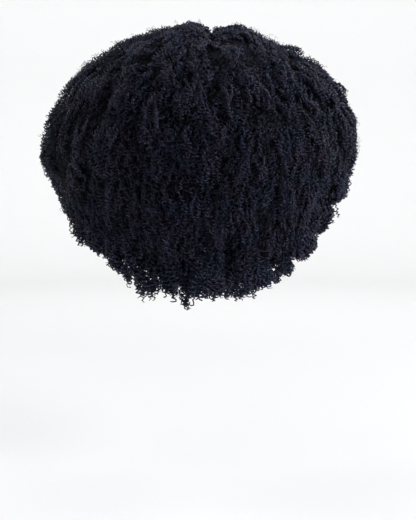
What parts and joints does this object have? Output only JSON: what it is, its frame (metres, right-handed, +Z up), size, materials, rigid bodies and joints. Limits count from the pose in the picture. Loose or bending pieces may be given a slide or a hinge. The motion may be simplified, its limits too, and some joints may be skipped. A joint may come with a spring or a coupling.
{
  "type": "half wig",
  "caption": "Half wig of short, full, coily black hair in shingled rows of locks on an open cap with an elastic edge band and hidden combs.",
  "frame": {"origin": "inside of the cap's top, where the crown of the wearer's head bears", "axes": "+Z up along the wearer's head, +Y the way the wearer faces, +X the wearer's right, along the hair's greatest width"},
  "size_m": [0.3336, 0.283, 0.2879],
  "materials": {
    "hair": "satin",
    "net": "matte",
    "elastic": "matte",
    "comb": "gloss"
  },
  "bodies": {
    "root": {"wig_cap": "net", "edge_band": "elastic", "comb_nape": "comb", "comb_right": "comb", "comb_front": "comb", "comb_left": "comb", "hair_crown": "hair", "hair_row_upper": "hair", "hair_row_middle": "hair", "hair_row_lower": "hair", "hair_row_nape": "hair"}
  },
  "joints": []
}
